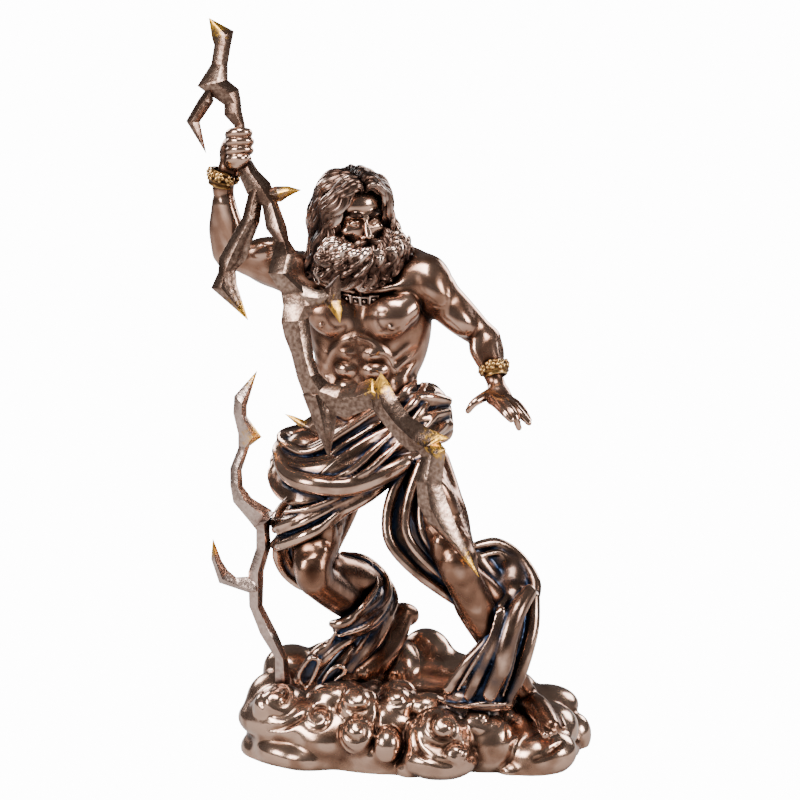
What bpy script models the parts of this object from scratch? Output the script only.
"""Cast statuette of a bearded sky god who strides over clouds with a thunderbolt in his raised hand.

The figure, the cloud base, the held bolt and the rising bolt are four castings. The front of the statue is
-Y, +Z is up, and the origin is in the middle of the base's flat underside. The figure's places and
proportions are shares of the statue's height: at a height of 296 mm one unit is one millimetre.
"""

import math

import bmesh
import bpy
from mathutils import Matrix, Vector

# Driving sizes, in metres
STATUE_HEIGHT = 0.296
BOLT_THICKNESS = 0.0075
CLOTH_THICKNESS = 0.0036
BRACELET_HEIGHT = 0.0085
NECKLACE_HEIGHT = 0.0032
FIT_GAP = 0.0004

# One unit is a 296th of the statue's height
UNIT = STATUE_HEIGHT / 296

# The front view that the places are traced in, seen from a little above: a step on the sheet is a share of
# a unit, and the sight is so many units long
SHEET_SCALE = 0.395
SHEET_MIDDLE_RIGHT = 400
SHEET_MIDDLE_DOWN = 400
SIGHT_RATIO = 1300
SIGHT_TILT = math.radians(10)
SIGHT_TARGET = Vector((-7.5 * UNIT, 0, 143.5 * UNIT))

# Grain of the carving in units, and the share of its fine mesh that the plain solid keeps
FIGURE_GRAIN = 1.1
FIGURE_SHARE = 0.042
BASE_GRAIN = 1.4
BASE_SHARE = 0.03

# Where a blade's ridge runs, as a share of its half width, and how thin a branch is beside its trunk
TRUNK_RIDGE = 0.25
BRANCH_RIDGE = -0.2
BRANCH_THINNESS = 0.92


def at(right, down, depth):
    """The place behind a point of the front view, at a depth in units behind the statue's middle plane."""
    forward = Vector((0, math.cos(SIGHT_TILT), -math.sin(SIGHT_TILT)))
    upward = Vector((0, math.sin(SIGHT_TILT), math.cos(SIGHT_TILT)))
    eye = SIGHT_TARGET - forward * SIGHT_RATIO * UNIT
    across = (right - SHEET_MIDDLE_RIGHT) * SHEET_SCALE / SIGHT_RATIO
    rise = (SHEET_MIDDLE_DOWN - down) * SHEET_SCALE / SIGHT_RATIO
    sight = forward + Vector((across, 0, 0)) + upward * rise
    return eye + sight * ((depth * UNIT - eye.y) / sight.y)


def units(*values):
    """A vector given in units."""
    return Vector(values) * UNIT


def placed(origin, yaw, pitch=0, roll=0):
    """A frame at a place: yaw turns its front to the statue's left, pitch tips it down, roll leans it."""
    turn = Matrix.Rotation(math.radians(yaw), 4, "Z")
    tip = Matrix.Rotation(math.radians(pitch), 4, "X")
    lean = Matrix.Rotation(math.radians(roll), 4, "Y")
    return Matrix.Translation(origin) @ turn @ tip @ lean


class Casting:
    """Overlapping closed shapes that are fused into one cast body."""

    def __init__(self, frame=None):
        self.mesh = bmesh.new()
        self.frame = frame or Matrix.Identity(4)

    def ball(self, centre, radii, turn=(0, 0, 0)):
        """Add an ellipsoid with three radii in units, turned in degrees about X, Y and Z."""
        matrix = self.frame @ Matrix.Translation(centre)
        for angle, axis in zip(turn, "XYZ"):
            matrix = matrix @ Matrix.Rotation(math.radians(angle), 4, axis)
        matrix = matrix @ Matrix.Diagonal((*(radius * UNIT for radius in radii), 1))
        bmesh.ops.create_uvsphere(self.mesh, u_segments=20, v_segments=12, radius=1, matrix=matrix)

    def tube(self, points, radii, flat=1.0, facing=(0, -1, 0), sides=12, pieces=4):
        """Add a round-ended tube along a smooth curve; flat thins it along the direction that it faces."""
        path, sizes = smooth(points, [radius * UNIT for radius in radii], pieces)
        rings = []
        for index, (centre, size) in enumerate(zip(path, sizes)):
            ahead = path[min(index + 1, len(path) - 1)] - path[max(index - 1, 0)]
            ahead.normalize()
            side = ahead.cross(Vector(facing)).normalized()
            front = side.cross(ahead).normalized()
            rings.append((centre, ahead, side * size, front * size * flat, size * min(flat, 1)))
        first, last = rings[0], rings[-1]
        ends = [(0.87, 0.5), (0.5, 0.87)]
        outline = [ring_points(first, -shift, share, sides) for shift, share in ends]
        outline += [ring_points(ring, 0, 1, sides) for ring in rings]
        outline += [ring_points(last, shift, share, sides) for shift, share in reversed(ends)]
        self.skin(outline, first[0] - first[1] * first[4], last[0] + last[1] * last[4])

    def skin(self, outline, start, end):
        """Join rings of points into a closed skin with a point at each end."""
        rows = [[self.mesh.verts.new(self.frame @ point) for point in ring] for ring in outline]
        count = len(rows[0])
        tip = self.mesh.verts.new(self.frame @ start)
        toe = self.mesh.verts.new(self.frame @ end)
        for here, following in zip(rows, rows[1:]):
            for index in range(count):
                after = (index + 1) % count
                self.mesh.faces.new((here[index], here[after], following[after], following[index]))
        for index in range(count):
            after = (index + 1) % count
            self.mesh.faces.new((tip, rows[0][after], rows[0][index]))
            self.mesh.faces.new((toe, rows[-1][index], rows[-1][after]))

    def blade(self, stations, thickness, ridge=0.0):
        """Add a faceted blade: each station holds its two edge places on the front view and its depth.

        A station of three values is a sharp point. The ridge runs between the edges, moved to one side
        by the given share of the half width.
        """
        edges = []
        for station in stations:
            if len(station) == 3:
                edges.append((at(*station), None))
            else:
                left = at(station[0], station[1], station[4])
                right = at(station[2], station[3], station[4])
                edges.append(((left + right) / 2, (right - left) / 2))
        rings = []
        for index, (centre, across) in enumerate(edges):
            if across is None:
                nearest = edges[1][1] if index == 0 else edges[index - 1][1]
                across = nearest.normalized() * 0.15 * UNIT
            half = min(thickness / 2, 0.84 * across.length)
            middle = centre + across * ridge
            front = Vector((0, -half, 0))
            rings.append([centre - across, middle + front, centre + across, middle - front])
        start = sum(rings[0], Vector()) / 4
        end = sum(rings[-1], Vector()) / 4
        self.skin(rings, start, end)

    def finish(self, name):
        """Close the casting into an object of the given name."""
        bmesh.ops.recalc_face_normals(self.mesh, faces=self.mesh.faces)
        data = bpy.data.meshes.new(name)
        self.mesh.to_mesh(data)
        self.mesh.free()
        thing = bpy.data.objects.new(name, data)
        bpy.context.scene.collection.objects.link(thing)
        return thing


def smooth(points, sizes, pieces):
    """Points and sizes along a smooth curve through the given ones."""
    path = []
    widths = []
    last = len(points) - 1
    for index in range(last):
        before = points[max(index - 1, 0)]
        start, end = points[index], points[index + 1]
        beyond = points[min(index + 2, last)]
        for step in range(pieces):
            share = step / pieces
            path.append(curve_point(before, start, end, beyond, share))
            eased = share * share * (3 - 2 * share)
            widths.append(sizes[index] * (1 - eased) + sizes[index + 1] * eased)
    return path + [points[-1]], widths + [sizes[-1]]


def curve_point(before, start, end, beyond, share):
    """A point of the smooth curve that runs from start to end."""
    pull = (end - before) / 2
    leave = (beyond - start) / 2
    square = share * share
    cube = square * share
    return (start * (2 * cube - 3 * square + 1) + pull * (cube - 2 * square + share)
            + end * (3 * square - 2 * cube) + leave * (cube - square))


def ring_points(ring, shift, share, sides):
    """The points of one ring, moved along the tube and shrunk by a share."""
    centre, ahead, side, front, size = ring
    middle = centre + ahead * size * shift
    turns = [math.tau * index / sides for index in range(sides)]
    return [middle + (side * math.cos(turn) + front * math.sin(turn)) * share for turn in turns]


def material(name, colour, roughness, metallic):
    """A plain material with the casting's colour."""
    made = bpy.data.materials.new(name)
    made.use_nodes = True
    surface = made.node_tree.nodes["Principled BSDF"]
    surface.inputs["Base Color"].default_value = (*colour, 1)
    surface.inputs["Roughness"].default_value = roughness
    surface.inputs["Metallic"].default_value = metallic
    made.diffuse_color = (*colour, 1)
    return made


def fuse(thing, cell, share):
    """Fuse the overlapping shapes of an object into one skin and thin it out to plain faces."""
    skin = thing.modifiers.new("one skin", "REMESH")
    skin.mode = "VOXEL"
    skin.voxel_size = cell
    ease = thing.modifiers.new("soft creases", "SMOOTH")
    ease.factor = 0.5
    ease.iterations = 3
    plain = thing.modifiers.new("plain faces", "DECIMATE")
    plain.ratio = share


def cut(thing, cutter):
    """Take a cutter's shape out of an object."""
    change = thing.modifiers.new("room for " + cutter.name, "BOOLEAN")
    change.operation = "DIFFERENCE"
    change.solver = "EXACT"
    change.object = cutter
    hide_cutter(cutter)


def hide_cutter(cutter):
    """Mark an object as a helper that isn't part of the statue."""
    cutter.hide_render = True
    cutter.display_type = "WIRE"


def settled(thing):
    """Put an object's modifiers into its mesh."""
    graph = bpy.context.evaluated_depsgraph_get()
    data = bpy.data.meshes.new_from_object(thing.evaluated_get(graph))
    thing.modifiers.clear()
    thing.data = data


def clearance_of(thing, gap):
    """A slightly swollen copy of an object, which cuts its room out of a neighbour."""
    cutter = bpy.data.objects.new(thing.name + "_room", thing.data.copy())
    bpy.context.scene.collection.objects.link(cutter)
    swell = cutter.modifiers.new("gap", "DISPLACE")
    swell.mid_level = 0
    swell.strength = gap
    hide_cutter(cutter)
    return cutter


def torso(body):
    """Chest, belly, shoulders and back, turned a little to the raised arm's side."""
    body.frame = placed(at(364, 325, 2), -17)
    body.ball(units(0, 0, 1), (23, 14.5, 23))
    body.ball(units(0, 1, -24), (17.5, 12, 20))
    body.ball(units(0, 4, 14), (24, 10, 9))
    for side in (-1, 1):
        body.ball(units(11 * side, -9.5, 4), (12, 7, 9), (0, -14 * side, -12 * side))
        body.ball(units(17 * side, 4, -4), (8, 11, 21), (0, 8 * side, 0))
        body.ball(units(10 * side, 6, 18), (12, 7, 7), (0, 22 * side, 0))
        body.ball(units(12.5 * side, -3, -27), (6.5, 9, 12))
        for row in range(3):
            body.ball(units(4.6 * side, -10.6 + 0.5 * row, -11 - 8.2 * row), (4.7, 3.6, 4.1))
    body.frame = Matrix.Identity(4)
    body.ball(at(374, 436, 4), (21, 15, 16))
    body.tube([at(364, 300, 4), at(358, 262, 0), at(354, 235, -3)], (11, 8.5, 8.5))


def raised_arm(body):
    """The figure's right arm, lifted to its side, with its fist round the bolt."""
    shoulder, elbow, wrist = at(303, 276, 8), at(231, 252, 4), at(223, 188, -3)
    body.ball(at(300, 272, 7), (10.5, 10, 10))
    body.tube([shoulder, at(266, 262, 6), elbow], (9.5, 8.6, 6))
    body.ball(at(263, 250, 3), (9, 6.5, 6.5), (0, -12, 0))
    body.tube([elbow, at(226, 228, 1), wrist], (6.2, 6.6, 4))
    body.tube([wrist, at(230, 165, -5)], (4.6, 4.8), 0.75)
    body.ball(at(234, 150, -5), (5.6, 5.2, 7.4), (0, 12, 0))
    for row in range(4):
        down = 131 + 9.5 * row
        body.tube([at(229, down + 2, -10), at(240, down, -13.5), at(250, down + 1, -9)], (2.3, 2.5, 2.3))
    body.tube([at(229, 160, -6), at(236, 152, -12), at(246, 148, -13)], (2.6, 2.6, 2.3))
    height = BRACELET_HEIGHT / UNIT
    body.ball(at(224, 176, -4), (6.4, 6.2, 0.62 * height), (0, 8, 0))


def lowered_arm(body):
    """The figure's left arm, held out and down, with a spread hand."""
    shoulder, elbow, wrist = at(432, 288, -3), at(486, 334, 2), at(496, 386, -9)
    body.ball(at(436, 288, -3), (10.5, 10.5, 12), (0, -30, 0))
    body.tube([shoulder, at(462, 312, -1), elbow], (9.6, 8.6, 6.4))
    body.ball(at(459, 316, -5), (7, 6.5, 10), (0, -42, 0))
    body.tube([elbow, at(486, 350, -2), wrist], (6.3, 6.2, 3.6))
    body.tube([wrist, at(498, 398, -14)], (4.2, 5.2), 0.6)
    fingers = (
        ((488, 396, -16), (478, 404, -20), (468, 411, -20)),
        ((494, 402, -17), (486, 408, -23), (478, 413, -27)),
        ((499, 402, -17), (505, 409, -24), (509, 417, -29)),
        ((503, 400, -16), (513, 408, -22), (520, 421, -26)),
        ((505, 397, -14), (518, 406, -18), (527, 421, -21)),
    )
    for finger in fingers:
        body.tube([at(*joint) for joint in finger], (2.4, 2, 1.5))
    height = BRACELET_HEIGHT / UNIT
    body.ball(at(493, 371, -6), (6.6, 6.2, 0.62 * height), (0, -8, 0))


def legs(body):
    """Both legs and feet: the right one bent behind with its heel up, the left one striding forward."""
    body.tube([at(344, 448, 8), at(326, 505, -10), at(312, 566, -25)], (15, 13.5, 8.8))
    body.ball(at(312, 572, -27), (8.4, 8.2, 9))
    body.tube([at(313, 578, -26), at(348, 600, -4), at(395, 630, 19)], (8, 8, 4.6))
    body.ball(at(356, 592, 1), (9, 9, 7.5), (0, 30, 40))
    body.tube([at(404, 620, 23), at(385, 645, 12), at(362, 668, -2), at(346, 678, -9)], (4.8, 5.6, 5.4, 3.4))
    body.tube([at(408, 442, -4), at(434, 505, -20), at(456, 560, -33)], (15.5, 13, 9.4))
    body.ball(at(458, 566, -34), (9, 8.6, 10))
    body.tube([at(459, 572, -34), at(487, 620, -27), at(522, 688, -18)], (8.6, 8, 4.8))
    body.ball(at(484, 606, -21), (8.2, 9, 16), (0, -26, 0))
    foot = (at(524, 704, -11), at(537, 708, -24), at(549, 722, -35), at(556, 731, -42))
    body.tube(foot, (4.8, 5.4, 5.2, 3.2))


def head_and_hair(body):
    """The head turned to the lowered arm's side, with long hair and a full beard."""
    body.frame = placed(at(353, 208, -4), 24, 8, -5)
    body.ball(units(0, 1.5, 2), (12.5, 14.5, 13))
    body.ball(units(0, -5.5, -8), (9.5, 9, 11))
    body.tube([units(0, -13.2, 1), units(0, -16.4, -5)], (1.5, 2.3))
    for side in (-1, 1):
        body.ball(units(6.4 * side, -8.6, -4.5), (4, 4, 4))
        body.ball(units(4.6 * side, -11.6, 3), (4, 2.4, 1.7), (0, -8 * side, 0))
        body.tube([units(2 * side, -7, 14.5), units(9 * side, -5, 12), units(13.5 * side, -2, 2),
                   units(14 * side, 0, -8)], (3.6, 4.4, 4.6, 4.6))
    body.frame = Matrix.Identity(4)
    body.ball(at(350, 205, 6), (16.5, 14, 15))
    locks = (
        ((322, 215, 0), (314, 245, -2), (308, 268, -1), (316, 288, -2), (6.5, 7.5, 6.5, 3)),
        ((330, 225, 12), (320, 262, 14), (322, 292, 14), (334, 306, 14), (8, 9, 8, 4)),
        ((362, 215, 16), (366, 255, 18), (362, 290, 17), (366, 306, 16), (9, 10, 9, 4)),
        ((392, 222, 4), (402, 246, 2), (416, 258, 2), (428, 262, 3), (6.5, 6.5, 5, 2.6)),
        ((388, 240, 12), (400, 262, 13), (412, 275, 12), (420, 284, 10), (7, 7.5, 6, 3)),
    )
    for lock in locks:
        body.tube([at(*joint) for joint in lock[:4]], lock[4])
    beard = (
        ((348, 232, -16), (336, 252, -17), (332, 270, -16), (340, 282, -15), (4.5, 7, 7, 4)),
        ((362, 236, -20), (352, 258, -22), (350, 276, -21), (356, 292, -18), (4.5, 7.5, 7, 3.6)),
        ((374, 238, -21), (372, 258, -24), (374, 276, -22), (378, 288, -19), (5, 8, 7, 3.6)),
        ((384, 234, -18), (392, 252, -20), (398, 266, -18), (398, 278, -16), (4.5, 7, 6.6, 3.6)),
        ((390, 232, -12), (404, 248, -12), (414, 258, -9), (420, 264, -7), (4, 5.6, 5, 3)),
    )
    for lock in beard:
        body.tube([at(*joint) for joint in lock[:4]], lock[4])
    height = NECKLACE_HEIGHT / UNIT
    chain = (at(336, 290, -9), at(346, 297, -14), at(360, 300, -17), (at(382, 293, -17)), at(402, 282, -14))
    body.tube(chain, (0.6 * height,) * 5, 0.8)


def cloth(body):
    """The cloth: rolls round the hips, a swag round each leg, and tails that reach the clouds."""
    thick = CLOTH_THICKNESS / UNIT
    body.ball(at(366, 440, 3), (23, 17, 13), (0, 14, 0))
    # rolls across the hips, from the lowered arm's side down to the raised arm's side
    hips = (
        (((447, 402, -2), (425, 398, -12), (392, 402, -14), (350, 430, -15), (312, 452, -14), (290, 446, -5),
          (286, 436, 8), (320, 425, 20), (375, 415, 22), (430, 408, 14)),
         (0.8, 1, 1, 1, 1, 0.9, 0.9, 1.1, 1.2, 1)),
        (((447, 412, -4), (420, 420, -15), (380, 438, -18), (330, 464, -20), (295, 466, -14), (280, 450, 0),
          (300, 436, 18), (360, 425, 24), (430, 420, 14)),
         (0.8, 1.1, 1.2, 1.2, 1, 0.9, 1.1, 1.2, 1)),
        (((448, 424, -4), (416, 440, -18), (372, 460, -21), (325, 478, -23), (290, 476, -14), (278, 462, 2),
          (300, 450, 19), (370, 442, 25), (430, 434, 14)),
         (0.9, 1.2, 1.3, 1.3, 1.2, 1, 1.2, 1.3, 1.1)),
        (((440, 440, -8), (404, 462, -22), (352, 484, -26), (308, 492, -24), (284, 486, -12), (278, 474, 2),
          (300, 470, 18), (350, 462, 24), (410, 452, 18)),
         (0.9, 1.5, 1.7, 1.7, 1.5, 1.2, 1.5, 1.7, 1.3)),
    )
    pleats = (
        (((404, 374, -8), (415, 401, -15), (420, 426, -16)), (0.6, 1, 0.7)),
        (((416, 376, -5), (428, 402, -11), (434, 428, -12)), (0.6, 1, 0.7)),
        (((430, 384, 0), (440, 406, -5), (445, 428, -6)), (0.6, 1, 0.7)),
        (((440, 396, 6), (449, 412, 3), (449, 428, 3)), (0.6, 1, 0.7)),
    )
    # swag round the raised arm's thigh, and its flap behind the knee
    right_thigh = (
        (((396, 474, -14), (352, 500, -22), (312, 520, -26), (286, 530, -20), (279, 528, -6), (292, 510, 8),
          (330, 490, 14)), (1, 1.3, 1.4, 1.3, 1.2, 1.3, 1.3)),
        (((372, 494, -16), (340, 516, -23), (308, 534, -27), (284, 545, -20), (278, 544, -6), (290, 530, 6),
          (316, 512, 8)), (0.9, 1.2, 1.3, 1.2, 1.2, 1.2, 1)),
        (((284, 546, -8), (290, 566, -6), (306, 586, -6)), (1.3, 1.2, 0.7)),
    )
    # cloth wound round the bent leg's shin, down to the clouds
    right_shin = (
        (((342, 555, 2), (366, 563, 6), (384, 580, 8), (382, 600, 0), (362, 612, -9), (340, 618, -14),
          (330, 608, -10)), (0.7, 0.9, 1.1, 1.2, 1.2, 1.1, 0.8)),
        (((386, 584, 12), (396, 604, 12), (384, 628, 2), (356, 638, -9), (330, 636, -13), (326, 622, -8)),
         (0.8, 1.2, 1.4, 1.5, 1.3, 0.9)),
        (((396, 606, 14), (398, 622, 12), (380, 648, 4), (350, 656, -6), (322, 664, -9), (302, 688, -8)),
         (0.8, 1.2, 1.6, 1.7, 1.5, 1)),
        (((352, 650, -4), (346, 668, -8), (330, 684, -8)), (1.6, 1.5, 1)),
    )
    # swag down the inside of the striding thigh and behind its knee
    left_thigh = (
        (((412, 458, -20), (397, 496, -21), (390, 530, -24), (404, 560, -27), (432, 586, -28), (462, 603, -22),
          (484, 602, -8), (500, 588, 0), (504, 568, 0), (498, 552, -4)),
         (1.5, 1.6, 1.5, 1.6, 1.4, 1.2, 1.3, 1.4, 1.3, 0.9)),
        (((420, 462, -24), (410, 500, -27), (412, 535, -30), (430, 562, -33), (452, 590, -32)),
         (1.2, 1.3, 1.3, 1.2, 0.8)),
    )
    # loop beside the shin and the tails in front of it
    left_shin = (
        (((480, 548, -14), (500, 548, -8), (522, 563, -8), (531, 592, -16), (518, 616, -29), (496, 626, -35)),
         (0.8, 1.2, 1.5, 1.6, 1.4, 0.9)),
        (((500, 618, -35), (486, 650, -34), (456, 690, -27)), (1.2, 1.4, 1.4)),
        (((512, 614, -33), (500, 654, -36), (480, 696, -34)), (1.2, 1.5, 1.5)),
        (((526, 604, -26), (516, 654, -32), (502, 700, -34)), (1.2, 1.5, 1.5)),
        (((532, 600, -16), (529, 645, -24), (514, 692, -28)), (1.2, 1.5, 1.5)),
    )
    for folds in (hips, pleats, right_thigh, right_shin, left_thigh, left_shin):
        for places, shares in folds:
            body.tube([at(*place) for place in places], [share * thick for share in shares])


def figure():
    """The figure with its hair and cloth, as one casting."""
    body = Casting()
    torso(body)
    raised_arm(body)
    lowered_arm(body)
    legs(body)
    head_and_hair(body)
    cloth(body)
    made = body.finish("figure")
    fuse(made, FIGURE_GRAIN * UNIT, FIGURE_SHARE)
    return made


def held_thunderbolt():
    """The long jagged bolt: a shaft through the fist, a broad body before the trunk, and its branches."""
    shaft = (
        (209, 18, -2), (212, 39, 234, 31, -2), (214, 45, 231, 46, -3), (211, 64, 228, 64, -3),
        (200, 84, 227, 80, -4), (207, 99, 240, 90, -5), (224, 112, 242, 108, -6), (234, 126, 245, 124, -7.5),
        (236, 156, 248, 154, -9), (238, 174, 258, 170, -10), (247, 194, 270, 182, -12), (262, 206, 277, 200, -15),
        (266, 229, 287, 227, -19), (276, 242, 289, 240, -22), (272, 256, 297, 252, -25), (268, 273, 292, 272, -28),
        (281, 293, 316, 290, -30), (283, 306, 318, 304, -31), (281, 322, 309, 318, -32), (284, 336, 311, 334, -32),
        (291, 354, 314, 357, -33), (297, 378, 319, 373, -34), (306, 402, 328, 382, -35), (328, 414, 342, 386, -37),
        (346, 418, 358, 383, -39), (370, 409, 372, 378, -42), (386, 412, 384, 388, -44),
    )
    crescent = (
        (381, 373, -44), (370, 391, 390, 384, -44), (373, 410, 397, 399, -45), (385, 426, 410, 416, -46),
        (398, 442, 428, 428, -47), (412, 453, 441, 434, -48), (449, 438, -49),
    )
    lower_blade = (
        (412, 441, 431, 433, -46.8), (421, 457, 446, 449, -48), (416, 480, 442, 484, -49),
        (418, 506, 448, 504, -49.5), (429, 524, 456, 524, -50), (450, 545, 466, 545, -50), (479, 577, -50),
    )
    branches = (
        ((208, 86, 214, 100, -4), (198, 100, 213, 103, -5), (186, 121, 200, 122, -6), (206, 153, -7)),
        ((262, 190, 268, 203, -13), (276, 186, 281, 202, -14), (288, 186, 288, 197, -14), (301, 190, -14)),
        ((250, 186, 266, 194, -12), (246, 202, 262, 206, -13), (242, 218, 260, 222, -14),
         (229, 240, 252, 242, -15), (219, 258, 246, 260, -16), (218, 272, 236, 270, -17),
         (211, 288, 237, 284, -18), (248, 320, -20)),
        ((339, 275, -35), (325, 288, 341, 284, -34), (322, 300, 341, 300, -34), (332, 312, 342, 310, -35),
         (340, 323, -36)),
        ((300, 284, 302, 312, -31), (318, 290, 318, 308, -33), (332, 288, 332, 304, -34)),
        ((302, 394, 336, 392, -35), (309, 412, 337, 410, -36), (318, 434, 335, 432, -37), (329, 458, -38)),
        ((316, 412, 322, 428, -33), (304, 420, 318, 436, -31), (294, 416, 298, 426, -30), (285, 414, -29)),
    )
    return faceted("held_thunderbolt", shaft, (crescent, lower_blade, *branches))


def rising_thunderbolt():
    """The second bolt, which stands on the clouds beside the figure and leans on its cloth."""
    stem = (
        (275, 700, 293, 700, -1), (275, 672, 290, 672, -2), (275, 658, 288, 658, -3), (260, 634, 278, 634, -4),
        (249, 606, 263, 605, -3), (248, 572, 264, 571, -3), (256, 548, 271, 547, -4), (256, 530, 270, 530, -5),
        (248, 520, 272, 510, -4), (233, 502, 252, 498, -2), (230, 485, 243, 486, -1), (230, 468, 242, 470, 0),
        (238, 448, 250, 446, 0), (238, 434, 262, 437, 0), (233, 413, 247, 416, 1), (234, 396, 247, 406, 1),
        (257, 371, 2),
    )
    branches = (
        ((256, 528, 266, 514, -5), (266, 522, 274, 508, -7), (276, 510, 284, 500, -8), (284, 504, 290, 496, -9)),
        ((258, 596, 254, 576, -3), (240, 590, 236, 577, -2), (219, 583, 228, 570, -1), (211, 559, 222, 561, -1),
         (213, 539, -1)),
    )
    return faceted("rising_thunderbolt", stem, branches)


def faceted(name, trunk, branches):
    """A bolt of faceted blades, joined to its trunk."""
    stem = Casting()
    stem.blade(trunk, BOLT_THICKNESS, TRUNK_RIDGE)
    made = stem.finish(name)
    for index, stations in enumerate(branches):
        twig = Casting()
        twig.blade(stations, BOLT_THICKNESS * BRANCH_THINNESS, BRANCH_RIDGE)
        limb = twig.finish(f"{name}_branch_{index + 1}")
        union = made.modifiers.new(limb.name, "BOOLEAN")
        union.operation = "UNION"
        union.solver = "EXACT"
        union.use_self = True
        union.object = limb
        hide_cutter(limb)
    return made


def cloud_base():
    """The heap of cloud lumps, cut off flat underneath."""
    heap = Casting()
    lumps = (
        # place on the front view and depth, then three radii in units
        ((340, 746, 2), (41, 30, 14)), ((478, 748, 0), (42, 32, 14)), ((405, 752, -8), (40, 28, 13)),
        ((345, 716, 0), (44, 30, 14)), ((470, 722, -4), (40, 30, 12)), ((420, 700, 20), (40, 20, 22)),
        ((428, 662, 26), (13, 13, 15)), ((452, 690, 16), (12, 12, 12)), ((398, 668, 14), (10, 12, 12)),
        ((280, 712, -8), (13, 13, 13)), ((268, 742, -4), (10, 18, 10)), ((268, 700, 8), (12, 14, 14)),
        ((292, 668, 20), (12, 12, 10)), ((330, 672, 26), (14, 13, 13)), ((372, 662, 34), (15, 11, 12)),
        ((310, 752, -16), (16, 16, 8)), ((325, 722, -14), (14, 12, 11)), ((358, 707, -20), (9, 9, 9)),
        ((354, 738, -30), (8, 8, 9)), ((386, 744, -32), (7.5, 8, 9)), ((396, 708, -18), (9, 9, 10)),
        ((424, 728, -30), (9, 9, 9)), ((432, 748, -38), (13, 10, 10)), ((452, 752, -37), (10, 9, 8)),
        ((488, 728, -22), (12, 12, 11)), ((492, 750, -28), (12, 12, 9)), ((516, 722, -12), (12, 14, 11)),
        ((540, 750, -26), (12, 11, 9)), ((528, 764, -28), (10, 9, 7)), ((552, 728, -8), (11, 16, 10)),
        ((580, 732, 10), (8, 8, 7)), ((545, 704, 16), (14, 14, 8)), ((500, 692, 24), (16, 13, 11)),
        ((258, 722, 14), (8, 10, 8)),
    )
    for place, radii in lumps:
        heap.ball(at(*place), radii)
    made = heap.finish("cloud_base")
    fuse(made, BASE_GRAIN * UNIT, BASE_SHARE)
    floor = Casting()
    bmesh.ops.create_cube(floor.mesh, size=1, matrix=Matrix.Translation(units(0, 0, -50))
                          @ Matrix.Diagonal((300 * UNIT, 300 * UNIT, 100 * UNIT, 1)))
    cut(made, floor.finish("underside"))
    return made


def build():
    """Model the statue's four castings and give them their rooms in each other."""
    bronze = material("bronze", (0.36, 0.22, 0.15), 0.3, 0.9)
    cloud_bronze = material("cloud bronze", (0.42, 0.27, 0.19), 0.28, 0.9)
    pewter = material("pewter", (0.45, 0.38, 0.34), 0.38, 0.85)
    held = held_thunderbolt()
    rising = rising_thunderbolt()
    body = figure()
    base = cloud_base()
    for casting in (held, rising, body, base):
        settled(casting)
    cut(body, clearance_of(held, FIT_GAP))
    cut(body, clearance_of(rising, FIT_GAP))
    settled(body)
    cut(base, clearance_of(body, FIT_GAP))
    cut(base, clearance_of(rising, FIT_GAP))
    for casting, finish in ((held, pewter), (rising, pewter), (body, bronze), (base, cloud_bronze)):
        casting.data.materials.clear()
        casting.data.materials.append(finish)


for leftover in list(bpy.data.objects):
    bpy.data.objects.remove(leftover, do_unlink=True)
build()
